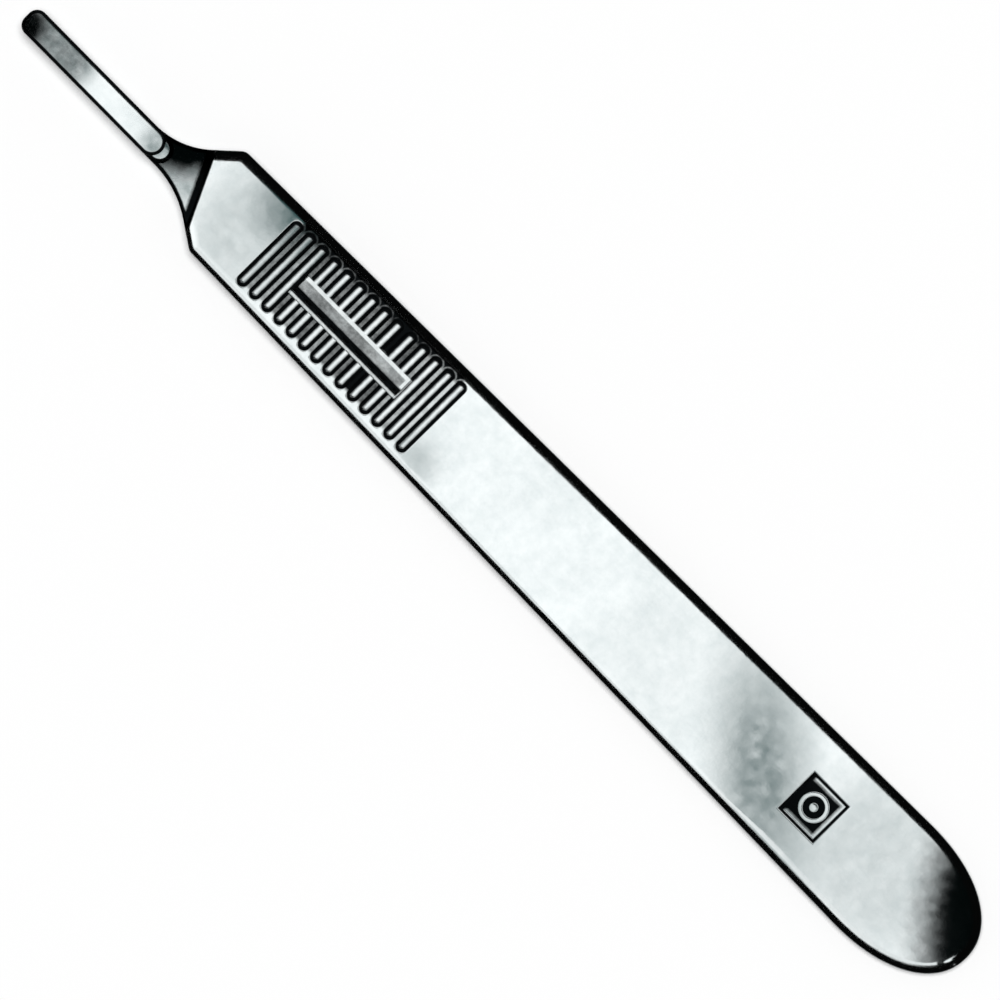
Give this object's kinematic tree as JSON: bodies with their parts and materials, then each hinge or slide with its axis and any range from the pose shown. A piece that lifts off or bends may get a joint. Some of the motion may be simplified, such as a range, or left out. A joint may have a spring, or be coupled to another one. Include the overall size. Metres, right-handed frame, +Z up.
{
  "type": "scalpel handle",
  "caption": "Flat steel scalpel handle with a slotted tang for detachable blades, an oblique shoulder, a cross-grooved grip and a rounded tail.",
  "frame": {"origin": "under the middle of the handle's bounding box, on the plane that its back rests on", "axes": "+X from the blade end to the rounded tail, +Z up out of the face with the blade seat and the square mark, +Y towards the side where the nose starts sooner"},
  "size_m": [0.125, 0.0132, 0.0034],
  "materials": {
    "steel": "satin stainless steel, tumbled smooth, with polished edges"
  },
  "bodies": {
    "root": {"handle": "steel"}
  },
  "joints": []
}
